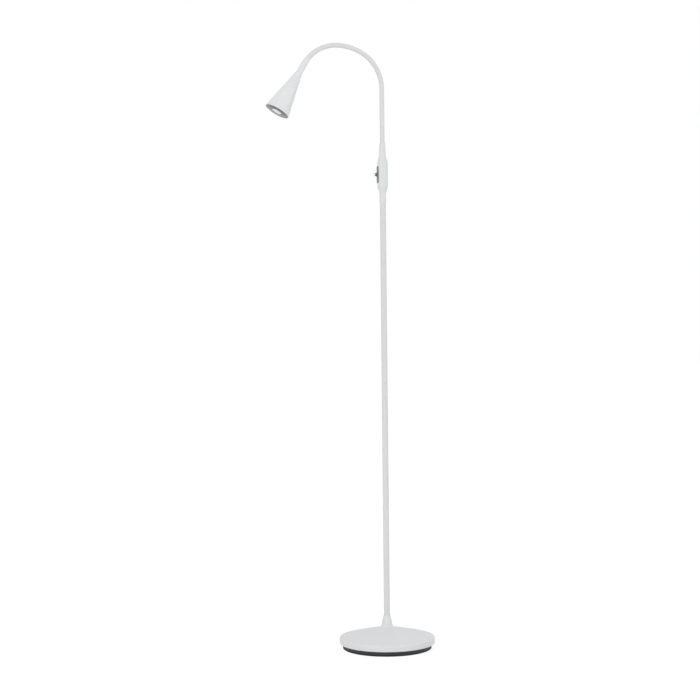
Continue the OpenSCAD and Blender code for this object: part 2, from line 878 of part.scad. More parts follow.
// Steel hose inside the sleeve
module arm_hose(k) {
    color(STEEL_COLOR) {
        if (k == 0)
            translate([0, 0, ferrule_z])
                ring(hose_r, hose_bore_r, arm_z + core_reach - ferrule_z);
        else
            link_tube(k, hose_r, hose_bore_r, core_reach);
        if (k == LAST)
            head_end(hose_r, hose_bore_r + end_step, sleeve_seat);
    }
}

// Lead inside the hose, from the switch to the light engine
module arm_lead(k) {
    start_z = switch_z + switch_h / 2 + loose;
    color("gray") {
        if (k == 0)
            translate([0, 0, start_z])
                ring(arm_lead_r, 0, arm_z + core_reach - start_z);
        else
            link_tube(k, arm_lead_r, 0, core_reach);
        if (k == LAST)
            head_end(arm_lead_r, 0, engine_a - loose);
    }
}

// Thicker sleeve where the arm enters the head
module head_boot() {
    color(COVER_COLOR)
        arch_tube(LAST, boot_d / 2, sleeve_r + fit, arch_angle - boot_angle, arch_angle);
}

// Conical shell with a neck that holds the arm
module head_shell() {
    fillet = [head_neck_r + head_fillet, cone_a - head_fillet * tan(head_angle / 2)];
    hole_r = arm_lead_r + loose;
    color(COVER_COLOR)
        at_head()
            rotate_extrude()
                polygon(concat(
                    [[sleeve_r + fit, 0], [head_neck_r, 0]],
                    arc(fillet, head_fillet, 180, 180 - head_angle),
                    [[mouth_r, head_len], [shell_inner_r(head_len), head_len],
                     [shell_inner_r(chamber_a), chamber_a], [hole_r, chamber_a], [hole_r, sleeve_seat],
                     [sleeve_r + fit, sleeve_seat]]));
}

// Finned heat sink that fills the inside of the cone
module heat_sink() {
    color("lightgray")
        at_head()
            difference() {
                translate([0, 0, sink_a])
                    cylinder(
                        r1 = shell_inner_r(sink_a) - fit, r2 = shell_inner_r(engine_a) - fit,
                        h = sink_len);
                translate([0, 0, sink_a - over])
                    cylinder(r = sink_bore / 2, h = sink_len + 2 * over);
                for (i = [0 : sink_gaps - 1])
                    translate([0, 0, sink_a + (2 * i + 1) * sink_fin_t])
                        ring(mouth_r, sink_core_d / 2, sink_fin_t);
                at_board_screws()
                    translate([0, 0, -board_t - board_screw_grip - loose])
                        cylinder(r = board_screw_d / 2 + fit, h = board_t + board_screw_grip + over);
            }
}

// Places children at each board screw, on the board's face
module at_board_screws() {
    for (side = [-1, 1])
        translate([0, side * board_screw_r, board_front_a])
            children();
}

// Round board on the heat sink's face
module led_board() {
    color("white")
        at_head()
            difference() {
                translate([0, 0, engine_a])
                    cylinder(d = board_d, h = board_t);
                at_board_screws()
                    translate([0, 0, -board_t - over])
                        cylinder(r = board_screw_d / 2 + loose, h = board_t + 2 * over);
            }
}

// Two screws that hold the board to the heat sink
module board_screws() {
    color(STEEL_COLOR)
        at_head()
            at_board_screws() {
                cylinder(d = board_screw_head_d, h = board_screw_head_t);
                translate([0, 0, -board_t - board_screw_grip])
                    cylinder(d = board_screw_d, h = board_t + board_screw_grip);
            }
}

// Light source on the board
module led_chip() {
    color("khaki")
        at_head()
            translate([-chip_w / 2, -chip_w / 2, board_front_a])
                cube([chip_w, chip_w, chip_t]);
}

// Lens with a domed face, a rim that sits on the ring's ledge and a tapered tail
module lens() {
    dome_angle = asin(lens_r / dome_r);
    color("white")
        at_head()
            rotate_extrude()
                polygon(concat(
                    [[0, lens_tail_a], [lens_tail_d / 2, lens_tail_a], [lens_hole_r - loose, lens_seat_a],
                     [lens_r, lens_seat_a]],
                    arc([0, lens_face_a + lens_dome - dome_r], dome_r, 90 - dome_angle, 90)));
}

// Dark ring that closes the mouth and carries the lens, a little proud at the lens
module lens_ring() {
    seat_r = lens_r + fit;
    color(DARK_COLOR)
        at_head()
            rotate_extrude()
                polygon([
                    [lens_hole_r, ring_back_a], [shell_inner_r(ring_back_a) - fit, ring_back_a],
                    [shell_inner_r(ring_a) - fit, ring_a], [seat_r, lens_face_a],
                    [seat_r, lens_seat_a], [lens_hole_r, lens_seat_a]]);
}

foot_pad();
base_foot();
foot_screws();
base_weight();
base_cover();
cord_grommet();
terminal_block();
supply_lead();
pole_nut();
lock_washer();
pole_washer();
pole_nipple();
pole_insert();
pole();
switch_housing();
housing_screws();
switch_body();
switch_plate();
switch_bushing();
bushing_nut();
toggle_lever();
arm_ferrule();
for (k = [0 : LAST]) {
    arm_sleeve(k);
    arm_hose(k);
    arm_lead(k);
}
head_boot();
head_shell();
heat_sink();
led_board();
board_screws();
led_chip();
lens();
lens_ring();
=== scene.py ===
"""Looks of a slim white floor lamp with a flexible arm.

Lengths of the pieces are in millimetres and angles in degrees. Lengths of the studio are in metres.
"""

import json
import math

import bmesh
import bpy
from mathutils import Matrix, Vector


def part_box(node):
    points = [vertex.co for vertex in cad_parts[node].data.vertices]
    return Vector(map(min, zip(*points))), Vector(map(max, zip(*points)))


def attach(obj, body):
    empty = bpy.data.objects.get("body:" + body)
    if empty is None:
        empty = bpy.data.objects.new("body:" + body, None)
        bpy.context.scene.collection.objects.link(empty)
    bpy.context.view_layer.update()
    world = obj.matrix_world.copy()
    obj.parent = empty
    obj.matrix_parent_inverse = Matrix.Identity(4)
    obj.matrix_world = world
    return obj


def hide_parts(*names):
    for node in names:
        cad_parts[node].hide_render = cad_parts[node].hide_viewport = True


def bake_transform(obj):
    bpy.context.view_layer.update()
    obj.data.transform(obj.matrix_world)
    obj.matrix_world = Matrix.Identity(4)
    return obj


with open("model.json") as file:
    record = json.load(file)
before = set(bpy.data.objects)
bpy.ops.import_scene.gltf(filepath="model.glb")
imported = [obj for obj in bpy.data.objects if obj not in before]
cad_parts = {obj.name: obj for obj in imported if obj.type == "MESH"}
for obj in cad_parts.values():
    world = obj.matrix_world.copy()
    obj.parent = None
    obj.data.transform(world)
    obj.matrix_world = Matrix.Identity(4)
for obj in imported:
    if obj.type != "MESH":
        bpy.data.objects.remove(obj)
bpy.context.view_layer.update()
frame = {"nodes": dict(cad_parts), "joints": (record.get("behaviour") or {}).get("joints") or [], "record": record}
joints = {j["name"]: j for j in frame["joints"]}
MM = 0.001
X = 0
Z = 2


def joint_z(name):
    return (Vector(joints[name]["pos_m"]) / MM).z


def low(node, axis):
    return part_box(node)[0][axis] / MM


def high(node, axis):
    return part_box(node)[1][axis] / MM


# Measures that several pieces share. What the frame doesn't give is repeated from the construction.
FIT = 0.05
LOOSE = 0.2
POLE_R = 6.0
POLE_Z = low("pole", Z)
POLE_TOP = high("pole", Z)
COVER_Z = low("base_cover", Z)
ARM_Z = joint_z("arm_bend_1")
ARCH_Z = joint_z("arm_bend_3")
ARCH_R = 79.5
CROWN_R = 110.0
ARCH_BEND = 149.5
TAIL_BEND = 18.75
ARCH_LINKS = 6
LINK_BEND = (ARCH_BEND - TAIL_BEND) / ARCH_LINKS
CROWN_START = 3 * LINK_BEND
CROWN_END = 4 * LINK_BEND
BOOT_BEND = ARCH_BEND - 9

# The sleeve's skin lies just inside its solid
SLEEVE_R = 4.74


# Meshes

# An edge that turns by more than this is shaded as a sharp one
SHARP = 32

# Length along a piece that one unit of its v covers
V_LENGTH = 100

# The most of an edge's length that one rounded corner takes
CORNER_SHARE = 0.48


def add_object(name, mesh, sharp):
    mesh.shade_smooth()
    mesh.set_sharp_from_angle(angle=math.radians(sharp))
    obj = bpy.data.objects.new(name, mesh)
    bpy.context.scene.collection.objects.link(obj)
    return obj


def loft(name, rings, closed=False, sharp=SHARP):
    """Skins rings of points, with u round a ring and v along the rings.

    A ring whose points are all one is a pole. Closed joins the last ring to the first.
    """
    bm = bmesh.new()
    uv = bm.loops.layers.uv.new("UVMap")
    rows = []
    for ring in rings:
        if (ring[0] - ring[1]).length < 1e-6:
            rows.append([bm.verts.new(ring[0] * MM)] * len(ring))
        else:
            rows.append([bm.verts.new(p * MM) for p in ring])
    count = len(rings[0])
    run = 0.0
    for k in range(len(rings) if closed else len(rings) - 1):
        n = (k + 1) % len(rings)
        step = (rings[n][0] - rings[k][0]).length
        for i in range(count):
            j = (i + 1) % count
            corners = [(rows[k][i], i, run), (rows[k][j], i + 1, run)]
            corners += [(rows[n][j], i + 1, run + step), (rows[n][i], i, run + step)]
            kept = []
            for c in corners:
                if c[0] not in [x[0] for x in kept]:
                    kept.append(c)
            if len(kept) < 3:
                continue
            face = bm.faces.new([c[0] for c in kept])
            for loop, c in zip(face.loops, kept):
                loop[uv].uv = (c[1] / count, c[2] / V_LENGTH)
        run += step
    bmesh.ops.recalc_face_normals(bm, faces=bm.faces)
    mesh = bpy.data.meshes.new(name)
    bm.to_mesh(mesh)
    bm.free()
    return add_object(name, mesh, sharp)


def circle(radius, z, count):
    out = []
    for i in range(count):
        a = 2 * math.pi * i / count
        out.append(Vector((radius * math.cos(a), radius * math.sin(a), z)))
    return out


def soften(points, steps=5):
    """Rounds the corners of a closed outline. A point is (r, z) or (r, z, corner radius)."""
    out = []
    count = len(points)
    for i, p in enumerate(points):
        here = Vector(p[:2])
        if len(p) == 2:
            out.append(here)
            continue
        back = Vector(points[i - 1][:2]) - here
        on = Vector(points[(i + 1) % count][:2]) - here
        half = back.angle(on) / 2
        run = min(p[2] / math.tan(half), back.length * CORNER_SHARE, on.length * CORNER_SHARE)
        radius = run * math.tan(half)
        back.normalize()
        on.normalize()
        centre = here + (back + on).normalized() * radius / math.sin(half)
        first = here + back * run - centre
        last = here + on * run - centre
        turn = math.atan2(first.x * last.y - first.y * last.x, first.dot(last))
        for k in range(steps + 1):
            c = math.cos(turn * k / steps)
            s = math.sin(turn * k / steps)
            out.append(centre + Vector((first.x * c - first.y * s, first.x * s + first.y * c)))
    return out


def ease(start, end, steps=32):
    """Points of a curve between two outline points, upright at both ends."""
    out = []
    for i in range(steps + 1):
        part = (1 - math.cos(math.pi * i / steps)) / 2
        out.append((start[0] + (end[0] - start[0]) * part, start[1] + (end[1] - start[1]) * i / steps))
    return out


def arc(centre, radius, start, end, steps=12):
    """Points of an arc."""
    out = []
    for i in range(steps + 1):
        a = math.radians(start + (end - start) * i / steps)
        out.append((centre[0] + radius * math.cos(a), centre[1] + radius * math.sin(a)))
    return out


def oblong(length, width, steps=16):
    """An outline with round ends, along X."""
    r = width / 2
    run = length / 2 - r
    return arc((run, 0), r, -90, 90, steps) + arc((-run, 0), r, 90, 270, steps)


def lathe(name, outline, place=None, segments=96, sharp=SHARP):
    """Turns a closed outline of (r, z) points round the Z axis of a place."""
    place = place or Matrix.Identity(4)
    rings = [[place @ p for p in circle(max(r, 0), z, segments)] for r, z in soften(outline)]
    return loft(name, rings, True, sharp)


def prism(name, outline, depth, edge, place, steps=5):
    """A plate of a closed outline with its front edge rounded."""
    count = len(outline)
    layers = [(0.0, 0.0)]
    for k in range(steps + 1):
        a = math.pi / 2 * k / steps
        layers.append((edge * (1 - math.cos(a)), depth - edge + edge * math.sin(a)))
    rings = [[place @ Vector((0, 0, 0))] * count]
    for inset, z in layers:
        ring = []
        for i in range(count):
            along = Vector(outline[(i + 1) % count]) - Vector(outline[i - 1])
            normal = Vector((along.y, -along.x)).normalized()
            p = Vector(outline[i]) - normal * inset
            ring.append(place @ Vector((p.x, p.y, z)))
        rings.append(ring)
    rings.append([place @ Vector((0, 0, depth))] * count)
    return loft(name, rings)


def hexagon_nut(name, across, start, end, bore, place, steps=10):
    """A hexagon nut with its outer corners turned off. Its face is a little narrower than its flats."""
    face_r = across / 2 * 0.96
    slope = math.tan(math.radians(30))
    rings = [[], [], [], [], []]
    for i in range(6 * steps):
        a = 2 * math.pi * i / (6 * steps)
        r = across / 2 / math.cos(a % (math.pi / 3) - math.pi / 6)
        drop = (r - face_r) * slope
        spots = [(bore, start), (r, start), (r, end - drop), (face_r, end), (bore, end)]
        for ring, (radius, z) in zip(rings, spots):
            ring.append(place @ Vector((radius * math.cos(a), radius * math.sin(a), z)))
    return loft(name, rings, True, sharp=20)


def carve(obj, *cutters):
    """Cuts other meshes out of a piece and takes them away."""
    for cutter in cutters:
        cut = obj.modifiers.new("cut", "BOOLEAN")
        cut.operation = "DIFFERENCE"
        cut.solver = "EXACT"
        cut.object = cutter
    graph = bpy.context.evaluated_depsgraph_get()
    mesh = bpy.data.meshes.new_from_object(obj.evaluated_get(graph))
    obj.modifiers.clear()
    obj.data = mesh
    mesh.shade_smooth()
    mesh.set_sharp_from_angle(angle=math.radians(SHARP))
    for cutter in cutters:
        bpy.data.objects.remove(cutter)


def facing_front(x, z):
    """A place on the switch's side: its X is up and its Z points to the front, -X."""
    return Matrix.Translation((-x, 0, z)) @ Matrix.Rotation(math.radians(-90), 4, "Y")


def facing_back(z):
    """A place on the lamp's axis whose Z points to the back, +X."""
    return Matrix.Translation((0, 0, z)) @ Matrix.Rotation(math.radians(90), 4, "Y")


def arm_point(place):
    """Frame of the arm's axis. A place is ("z", height) up to the arch and ("bend", angle) in it."""
    kind, value = place
    if kind == "z":
        return Matrix.Translation((0, 0, value))
    b = math.radians(value)
    start = math.radians(CROWN_START)
    crown = min(max(b, start), math.radians(CROWN_END))
    more = CROWN_R - ARCH_R
    x = ARCH_R * (math.cos(b) - 1) + more * (math.cos(crown) - math.cos(start))
    z = ARCH_R * math.sin(b) + more * (math.sin(crown) - math.sin(start))
    return Matrix.Translation((x, 0, ARCH_Z + z)) @ Matrix.Rotation(-b, 4, "Y")


def stations(start, end, step=1.2):
    """Places along the arm between two of them, about a step apart."""

    def run(place):
        return place[1] - ARCH_Z if place[0] == "z" else math.radians(place[1]) * ARCH_R

    a = run(start)
    b = run(end)
    count = max(2, round((b - a) / step))
    out = []
    for i in range(count + 1):
        t = a + (b - a) * i / count
        out.append(("z", ARCH_Z + t) if t <= 0 else ("bend", math.degrees(t / ARCH_R)))
    return out


def arm_tube(name, places, radii, bore, segments=48):
    """A hollow skin along the arm through the given places."""
    rings = []
    for place, r in zip(places, radii):
        rings.append([arm_point(place) @ p for p in circle(r, 0, segments)])
    for place in reversed(places):
        rings.append([arm_point(place) @ p for p in circle(bore, 0, segments)])
    return loft(name, rings, True, sharp=40)


# Materials

# Most of a noise lies between these values
NOISE_LOW = 0.3
NOISE_HIGH = 0.7

# Satin whites: colour, roughness, size of the skin's texture in mm and its strength
WHITES = {
    "white_paint": ((0.77, 0.775, 0.785), 0.42, 1.1, 0.10),
    # Darker copy of white_paint for the pole: painted shade, for the lesser light on the upright tube
    "white_tube": ((0.742, 0.74, 0.735), 0.42, 1.1, 0.10),
    "white_plastic": ((0.785, 0.795, 0.79), 0.38, 0.5, 0.06),
    # Lighter copy of white_plastic for the head and boot: painted light, for the stronger light that the head
    # catches
    "white_shade": ((0.824, 0.829, 0.838), 0.38, 0.5, 0.06),
    "white_sleeve": ((0.772, 0.77, 0.767), 0.5, 0.35, 0.08),
}
# Mouldings and castings: colour, roughness, size of the grain in mm, its strength, change of tone, IOR
GRAINED = {
    "charcoal": ((0.03, 0.032, 0.031), 0.55, 0.6, 0.35, 0.12, 1.46),
    "dark_grey": ((0.06, 0.061, 0.063), 0.12, 0.35, 0.02, 0.12, 1.6),
    "plate_grey": ((0.18, 0.181, 0.183), 0.28, 0.35, 0.06, 0.12, 1.46),
    "black_rubber": ((0.022, 0.022, 0.023), 0.75, 0.5, 0.4, 0.12, 1.46),
    "black_plastic": ((0.02, 0.02, 0.022), 0.45, 0.4, 0.2, 0.12, 1.46),
    "cast_iron": ((0.05, 0.05, 0.052), 0.7, 1.2, 0.8, 0.25, 1.46),
    "ivory_plastic": ((0.68, 0.63, 0.48), 0.45, 0.5, 0.15, 0.04, 1.46),
    "lead_grey": ((0.22, 0.22, 0.22), 0.5, 0.4, 0.15, 0.06, 1.46),
    "board_white": ((0.78, 0.78, 0.75), 0.4, 0.8, 0.1, 0.03, 1.46),
    "chip_yellow": ((0.78, 0.6, 0.06), 0.25, 0.3, 0.2, 0.1, 1.46),
}
# Metals: colour, roughness, width of the lines in mm and their strength, scale along X, Y and Z
METALS = {
    "bright_metal": ((0.82, 0.82, 0.83), 0.16, 0.12, 0.1, (1, 1, 0.04)),
    "steel": ((0.56, 0.56, 0.55), 0.36, 0.2, 0.25, (1, 1, 0.04)),
    "aluminium": ((0.72, 0.73, 0.74), 0.32, 0.3, 0.2, (0.05, 0.05, 1)),
}


class Shader:
    """A node material that is built up socket by socket."""

    def __init__(self, name):
        self.material = bpy.data.materials.new(name)
        self.material.use_nodes = True
        self.tree = self.material.node_tree
        self.principled = self.tree.nodes["Principled BSDF"]
        self.coords = self.tree.nodes.new("ShaderNodeTexCoord").outputs["Object"]

    def node(self, kind, **inputs):
        n = self.tree.nodes.new(kind)
        for key, value in inputs.items():
            n.inputs[key.replace("_", " ")].default_value = value
        return n

    def link(self, a, b):
        self.tree.links.new(a, b)

    def noise(self, scale, detail, rough=0.55, stretch=None):
        n = self.node("ShaderNodeTexNoise", Scale=scale, Detail=detail, Roughness=rough)
        if stretch:
            m = self.node("ShaderNodeMapping", Scale=stretch)
            self.link(self.coords, m.inputs["Vector"])
            self.link(m.outputs["Vector"], n.inputs["Vector"])
        else:
            self.link(self.coords, n.inputs["Vector"])
        return n.outputs["Fac"]

    def span(self, value, least, most):
        """Spreads a noise over a range of values."""
        ends = {"From_Min": NOISE_LOW, "From_Max": NOISE_HIGH, "To_Min": least, "To_Max": most}
        n = self.node("ShaderNodeMapRange", **ends)
        self.link(value, n.inputs["Value"])
        return n.outputs["Result"]

    def colours(self, value, dark, light, start=NOISE_LOW, end=NOISE_HIGH):
        """Spreads a noise over a range of colours."""
        n = self.node("ShaderNodeValToRGB")
        for stop, at, rgb in zip(n.color_ramp.elements, (start, end), (dark, light)):
            stop.position = at
            stop.color = (*rgb, 1)
        self.link(value, n.inputs["Fac"])
        return n.outputs["Color"]

    def bump(self, height, strength, distance_mm, after=None):
        n = self.node("ShaderNodeBump", Strength=strength, Distance=distance_mm * MM)
        self.link(height, n.inputs["Height"])
        if after:
            self.link(after, n.inputs["Normal"])
        return n.outputs["Normal"]

    def finish(self, colour, rough, normal, **fixed):
        """Joins the sockets to the surface. What is the same all over is set on the surface itself."""
        p = self.principled
        self.link(colour, p.inputs["Base Color"])
        self.link(rough, p.inputs["Roughness"])
        self.link(normal, p.inputs["Normal"])
        for key, value in fixed.items():
            p.inputs[key.replace("_", " ")].default_value = value
        return self.material


def shade(rgb, k):
    return tuple(min(1.0, c * k) for c in rgb)


def white_coat(name, rgb, rough, peel_mm, peel):
    """Satin white with a fine skin texture and a slight unevenness of tone and gloss."""
    s = Shader(name)
    tone = s.noise(scale=9, detail=4)
    colour = s.colours(tone, shade(rgb, 0.985), shade(rgb, 1.01), start=0.35, end=0.65)
    skin = s.noise(scale=1 / (peel_mm * MM), detail=2)
    fine = s.noise(scale=6000, detail=1)
    coarse = s.bump(skin, peel, distance_mm=0.05)
    normal = s.bump(fine, strength=0.05, distance_mm=0.02, after=coarse)
    gloss = s.noise(scale=60, detail=3)
    return s.finish(colour, s.span(gloss, rough - 0.04, rough + 0.05), normal, IOR=1.47)


def grained(name, rgb, rough, grain_mm, grain, variation, ior):
    """Moulding or casting with an eroded grain."""
    s = Shader(name)
    cells = s.noise(scale=1 / (grain_mm * MM), detail=4, rough=0.65)
    colour = s.colours(cells, shade(rgb, 1 - variation), shade(rgb, 1 + variation))
    normal = s.bump(cells, grain, distance_mm=0.08)
    gloss = s.noise(scale=120, detail=3)
    return s.finish(colour, s.span(gloss, rough - 0.05, rough + 0.05), normal, IOR=ior)


def metal(name, rgb, rough, line_mm, strength, stretch):
    """Metal with fine lines and small clouds in its gloss."""
    s = Shader(name)
    lines = s.noise(scale=1 / (line_mm * MM), detail=3, rough=0.6, stretch=stretch)
    colour = s.colours(lines, shade(rgb, 0.93), shade(rgb, 1.04))
    normal = s.bump(lines, strength, distance_mm=0.02)
    clouds = s.noise(scale=300, detail=3)
    return s.finish(colour, s.span(clouds, rough - 0.05, rough + 0.08), normal, Metallic=1.0)


def milky(name):
    """White plastic that lets a little light in under its surface."""
    s = Shader(name)
    haze = s.noise(scale=500, detail=3)
    return s.finish(
        s.colours(haze, (0.92, 0.92, 0.915), (0.95, 0.95, 0.945)),
        s.span(haze, 0.1, 0.18),
        s.bump(s.noise(scale=2500, detail=2), strength=0.03, distance_mm=0.02),
        Subsurface_Weight=0.1,
        Subsurface_Radius=(1, 1, 1),
        Subsurface_Scale=0.002,
        IOR=1.49,
    )


def make_materials():
    made = {"lens_white": milky("lens_white")}
    for build, table in ((white_coat, WHITES), (grained, GRAINED), (metal, METALS)):
        for name, values in table.items():
            made[name] = build(name, *values)
    return made


materials = make_materials()


def put(obj, slot, body, *stands_for, finish=None):
    """Gives a new piece its material, its body and the nodes that it stands for."""
    obj.data.materials.clear()
    obj.data.materials.append(materials[finish or slot])
    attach(obj, body)
    if stands_for:
        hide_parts(*stands_for)


for part in frame["record"]["subparts"]:
    node = frame["nodes"][part["node"]]
    node.data.materials.clear()
    node.data.materials.append(materials[part["material_slot"]])


# Base and pole

PAD_R = high("foot_pad", X)
PAD_Z = high("foot_pad", Z)
GROOVE_RADII = (22, 36, 50, 64, 78)
GROOVE_HALF = 1.6
GROOVE_FLOOR_HALF = 0.9
GROOVE_DEPTH = 0.8
TRAY_R = high("base_foot", X)
TRAY_TOP = COVER_Z + 2
TRAY_WALL = 2.5
TRAY_FLOOR = PAD_Z + 2.5
TRAY_CHAMFER = 1.2
COVER_R = (high("base_cover", X) - low("base_cover", X)) / 2
COVER_TOP = high("base_cover", Z)
COVER_SLOPE = 13.4
RIM_INNER_R = COVER_R - 2.2
RIM_INNER_TOP = COVER_Z + 10.26
RIM_EDGE_R = 2.5
RIM_EDGE_Z = COVER_Z + 10.026
FLARE_R = POLE_R + 4.2
FLARE_Z = COVER_TOP - 17
FLARE_FILLET = 8
FLARE_TOP_R = POLE_R + 0.75
WEB_Z = POLE_Z - 3
STUD_HOLE_R = 4.2
HUB_R = 18
INLET_Z = COVER_Z + 4.9
INLET_R = 2.2
INLET_CUT = (88, 99)
BUSH_R = 3.2
BUSH_LIP_R = 4.7
BUSH_LIP = 1
BUSH_X = 92.68
POLE_BORE_R = 5


def make_base():
    outline = [(RIM_INNER_R, COVER_Z, 0.4), (COVER_R, COVER_Z, 1.2)]
    outline += arc((COVER_R - RIM_EDGE_R, RIM_EDGE_Z), RIM_EDGE_R, 0, 90 - COVER_SLOPE)
    outline += arc((FLARE_R + FLARE_FILLET, FLARE_Z), FLARE_FILLET, 270 - COVER_SLOPE, 180, 24)
    outline += ease((FLARE_R, FLARE_Z), (FLARE_TOP_R, COVER_TOP))[1:-1]
    outline += [(FLARE_TOP_R, COVER_TOP, 0.3), (POLE_R + FIT, COVER_TOP), (POLE_R + FIT, POLE_Z)]
    outline += [(STUD_HOLE_R, POLE_Z), (STUD_HOLE_R, WEB_Z), (HUB_R, WEB_Z)]
    outline += [(RIM_INNER_R, RIM_INNER_TOP)]
    cover = lathe("cover_skin", outline, segments=192)
    inlet = facing_back(INLET_Z)
    start, end = INLET_CUT
    hole = [(0, start), (BUSH_R + FIT, start), (BUSH_R + FIT, end), (0, end)]
    carve(cover, lathe("hole", hole, inlet, segments=32))
    put(cover, "white_paint", "stand", "base_cover")

    tray = [(0, PAD_Z), (TRAY_R - TRAY_CHAMFER, PAD_Z, 0.3), (TRAY_R, PAD_Z + TRAY_CHAMFER, 0.3)]
    tray += [(TRAY_R, TRAY_TOP, 0.4), (TRAY_R - TRAY_WALL, TRAY_TOP, 0.4)]
    tray += [(TRAY_R - TRAY_WALL, TRAY_FLOOR, 0.8), (0, TRAY_FLOOR)]
    put(lathe("tray_skin", tray, segments=192), "charcoal", "stand", "base_foot")

    mat = [(0, PAD_Z), (0, 0)]
    for r in GROOVE_RADII:
        mat += [(r - GROOVE_HALF, 0, 0.3), (r - GROOVE_FLOOR_HALF, GROOVE_DEPTH, 0.2)]
        mat += [(r + GROOVE_FLOOR_HALF, GROOVE_DEPTH, 0.2), (r + GROOVE_HALF, 0, 0.3)]
    mat += [(PAD_R, 0, 0.8), (PAD_R, PAD_Z, 0.2)]
    put(lathe("pad_skin", mat, segments=160), "black_rubber", "stand", "foot_pad")

    bush = [(INLET_R, BUSH_X - BUSH_LIP, 0.4), (BUSH_LIP_R, BUSH_X - BUSH_LIP, 0.3)]
    bush += [(BUSH_LIP_R, BUSH_X), (BUSH_R, BUSH_X), (BUSH_R, COVER_R), (BUSH_LIP_R, COVER_R, 0.1)]
    bush += [(BUSH_LIP_R, COVER_R + BUSH_LIP, 0.5), (INLET_R, COVER_R + BUSH_LIP, 0.6)]
    put(lathe("grommet_skin", bush, inlet, segments=64), "black_rubber", "stand", "cord_grommet")

    tube = [(POLE_BORE_R, POLE_Z, 0.3), (POLE_R, POLE_Z, 0.3)]
    tube += [(POLE_R, POLE_TOP, 0.3), (POLE_BORE_R, POLE_TOP, 0.3)]
    # The pole takes a darker copy of the cover's white paint: painted shade
    put(lathe("pole_skin", tube), "white_paint", "stand", "pole", finish="white_tube")


# Switch

SWITCH_Z = joint_z("toggle_flip")
HOUSING_Z = low("switch_housing", Z)
HOUSING_TOP = high("switch_housing", Z)
HOUSING_R = 10.6
HOUSING_LIP_R = POLE_R + 0.65
HOUSING_LIP = 20
BODY_Z = SWITCH_Z - 22
BODY_TOP = SWITCH_Z + 22
SHOULDER = 19
NECK_LOW_R = 6.75
NECK_TOP_R = 5.85
FERRULE_R = 5.05
FERRULE_Z = BODY_TOP + LOOSE
WIRE_R = 3.8
SET_SCREW_R = 1.5
SET_SCREW_CUT = (4, 14)
LOWER_SCREW_Z = POLE_TOP - 3
UPPER_SCREW_Z = FERRULE_Z + SHOULDER / 3
FLAT_X = 9.6
PLATE_H = 35
PLATE_W = 8.8
PLATE = 1.6
POCKET = 6
NUT_ACROSS = 7.6
NUT_TOP = PLATE + 1.8
BUSHING_R = 3.1
BUSHING_BORE = 2.43
BUSHING_TOP = 6.2
BUSHING_END_R = 2.8
THREAD_Z = 3.5
THREAD_ROOT_R = 2.86
THREAD_PITCH = 0.5
THREAD_TURNS = 4
LEVER_X = 12.8
LEVER_TILT = 13
LEVER = 7.2
BALL_R = 2.35
LEVER_ROOT = (1.26, 2.25)
TIP_R = 1.6


def make_switch():
    outline = [(POLE_R + FIT, HOUSING_Z), (HOUSING_LIP_R, HOUSING_Z, 0.25)]
    outline += ease((HOUSING_LIP_R, HOUSING_Z + HOUSING_LIP), (HOUSING_R, BODY_Z))
    outline += ease((HOUSING_R, BODY_TOP), (NECK_LOW_R, BODY_TOP + SHOULDER))
    outline += [(NECK_TOP_R, HOUSING_TOP, 0.4), (FERRULE_R, HOUSING_TOP, 0.2), (FERRULE_R, FERRULE_Z)]
    outline += [(WIRE_R, FERRULE_Z), (WIRE_R, POLE_TOP), (POLE_R + FIT, POLE_TOP)]
    housing = lathe("housing_skin", outline, segments=128)
    face = facing_front(FLAT_X, SWITCH_Z)
    pocket = prism("pocket", oblong(PLATE_H + 2 * LOOSE, PLATE_W + 2 * LOOSE), POCKET, 0.1, face)
    start, end = SET_SCREW_CUT
    screw = [(0, start), (SET_SCREW_R + FIT, start), (SET_SCREW_R + FIT, end), (0, end)]
    lower = lathe("lower", screw, facing_back(LOWER_SCREW_Z), segments=32)
    upper = lathe("upper", screw, facing_back(UPPER_SCREW_Z), segments=32)
    carve(housing, pocket, lower, upper)
    put(housing, "white_plastic", "stand", "switch_housing")

    plate = prism("plate_skin", oblong(PLATE_H, PLATE_W), PLATE, 0.55, face)
    put(plate, "dark_grey", "stand", "switch_plate", finish="plate_grey")
    nut = hexagon_nut("nut_skin", NUT_ACROSS, PLATE, NUT_TOP, BUSHING_R + FIT, face)
    put(nut, "dark_grey", "stand", "bushing_nut", finish="plate_grey")

    thread = [(BUSHING_BORE, 0), (BUSHING_R, 0), (BUSHING_R, THREAD_Z)]
    for i in range(THREAD_TURNS):
        z = THREAD_Z + i * THREAD_PITCH
        thread += [(THREAD_ROOT_R, z + THREAD_PITCH / 2), (BUSHING_R, z + THREAD_PITCH)]
    thread += [(BUSHING_END_R, BUSHING_TOP - 0.3), (BUSHING_END_R, BUSHING_TOP, 0.15)]
    thread += [(BUSHING_BORE, BUSHING_TOP, 0.15)]
    bushing = lathe("bushing_skin", thread, face, segments=64)
    put(bushing, "dark_grey", "stand", "switch_bushing", finish="plate_grey")

    place = facing_front(LEVER_X, SWITCH_Z) @ Matrix.Rotation(math.radians(LEVER_TILT), 4, "Y")
    lever = [(0, -BALL_R)] + arc((0, 0), BALL_R, -85, 52) + [LEVER_ROOT, (TIP_R, LEVER)]
    lever += arc((0, LEVER), TIP_R, 8, 85) + [(0, LEVER + TIP_R)]
    put(lathe("lever_skin", lever, place, segments=64), "bright_metal", "toggle", "toggle_lever")


# Flexible arm: each skin crosses one ball joint, from the middle of a link to the middle of the next

LAST_LINK = 9
FOOT_RUN = 8
HEAD_RUN = 1.5
SLEEVE_BORE = 4.2
SWELL = 0.4
SWELL_BEND = 118
SWELL_RUN = 20
SLIM_BEND = BOOT_BEND + 0.5


def joint_place(k):
    if k <= 3:
        return ("z", ARM_Z + (k - 1) * (ARCH_Z - ARM_Z) / 2)
    return ("bend", (k - 3) * LINK_BEND)


